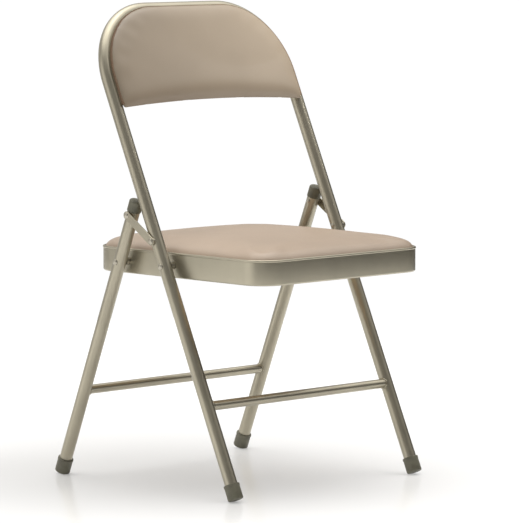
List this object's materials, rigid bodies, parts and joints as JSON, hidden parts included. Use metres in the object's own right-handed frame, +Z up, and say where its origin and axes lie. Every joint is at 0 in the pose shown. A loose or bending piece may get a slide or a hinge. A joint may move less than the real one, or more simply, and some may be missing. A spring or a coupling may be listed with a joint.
{
  "type": "folding chair",
  "caption": "Steel-tube folding chair with a padded vinyl seat and backrest, side links, a folding seat and splayed rear legs.",
  "frame": {"origin": "on the floor, at the centre of the unfolded chair's box", "axes": "+Z up, the sitter faces -Y, the sitter's left is +X"},
  "size_m": [0.466, 0.4911, 0.815],
  "materials": {
    "frame_paint": "satin taupe enamel",
    "cap_plastic": "moulded, fine grain",
    "rivet_steel": "satin",
    "seat_vinyl": "satin vinyl",
    "back_vinyl": "satin vinyl",
    "plywood": "raw",
    "hardboard": "raw",
    "foam": "open-cell foam"
  },
  "bodies": {
    "front_frame": {"frame_tube": "frame_paint", "front_crossbar": "frame_paint", "front_foot_cap_left": "cap_plastic", "front_foot_cap_right": "cap_plastic", "front_pivot_rivets": "rivet_steel", "link_frame_rivets": "rivet_steel", "link_frame_washers": "rivet_steel", "back_panel": "frame_paint", "back_board": "hardboard", "back_foam": "foam", "back_cover": "back_vinyl", "back_screws": "rivet_steel"},
    "seat": {"seat_apron": "frame_paint", "seat_shelf": "frame_paint", "seat_braces": "frame_paint", "seat_board": "plywood", "seat_foam": "foam", "seat_cover": "seat_vinyl", "seat_screws": "rivet_steel", "pivot_spacers": "rivet_steel"},
    "rear_legs": {"rear_leg_left": "frame_paint", "rear_leg_right": "frame_paint", "rear_crossbar": "frame_paint", "rear_foot_cap_left": "cap_plastic", "rear_foot_cap_right": "cap_plastic", "leg_top_cap_left": "cap_plastic", "leg_top_cap_right": "cap_plastic", "rear_pivot_rivets": "rivet_steel", "link_leg_washers": "rivet_steel", "link_leg_rivet_ends": "rivet_steel"},
    "link_strap_left": {"link_left": "frame_paint", "link_rivet_left": "rivet_steel"},
    "link_strap_right": {"link_right": "frame_paint", "link_rivet_right": "rivet_steel"}
  },
  "joints": [
    {"name": "seat_fold", "type": "hinge", "parent": "front_frame", "child": "seat", "pos_m": [0, -0.02975, 0.38], "axis": [-1, 0, 0], "range_deg": [0, 100.08]},
    {"name": "rear_leg_fold", "type": "hinge", "parent": "seat", "child": "rear_legs", "pos_m": [0, 0.08275, 0.38], "axis": [1, 0, 0], "range_deg": [0, 53.7]},
    {"name": "link_left_fold", "type": "hinge", "parent": "front_frame", "child": "link_strap_left", "pos_m": [0.215, -0.01069, 0.42184], "axis": [-1, 0, 0], "range_deg": [0, 125.13]},
    {"name": "link_right_fold", "type": "hinge", "parent": "front_frame", "child": "link_strap_right", "pos_m": [-0.215, -0.01069, 0.42184], "axis": [-1, 0, 0], "range_deg": [0, 125.13]}
  ],
  "couplings": [
    {"joint": "rear_leg_fold", "follows": "seat_fold", "ratio": 0.53637},
    {"joint": "link_left_fold", "follows": "seat_fold", "ratio": 1.2501},
    {"joint": "link_right_fold", "follows": "seat_fold", "ratio": 1.2501}
  ]
}
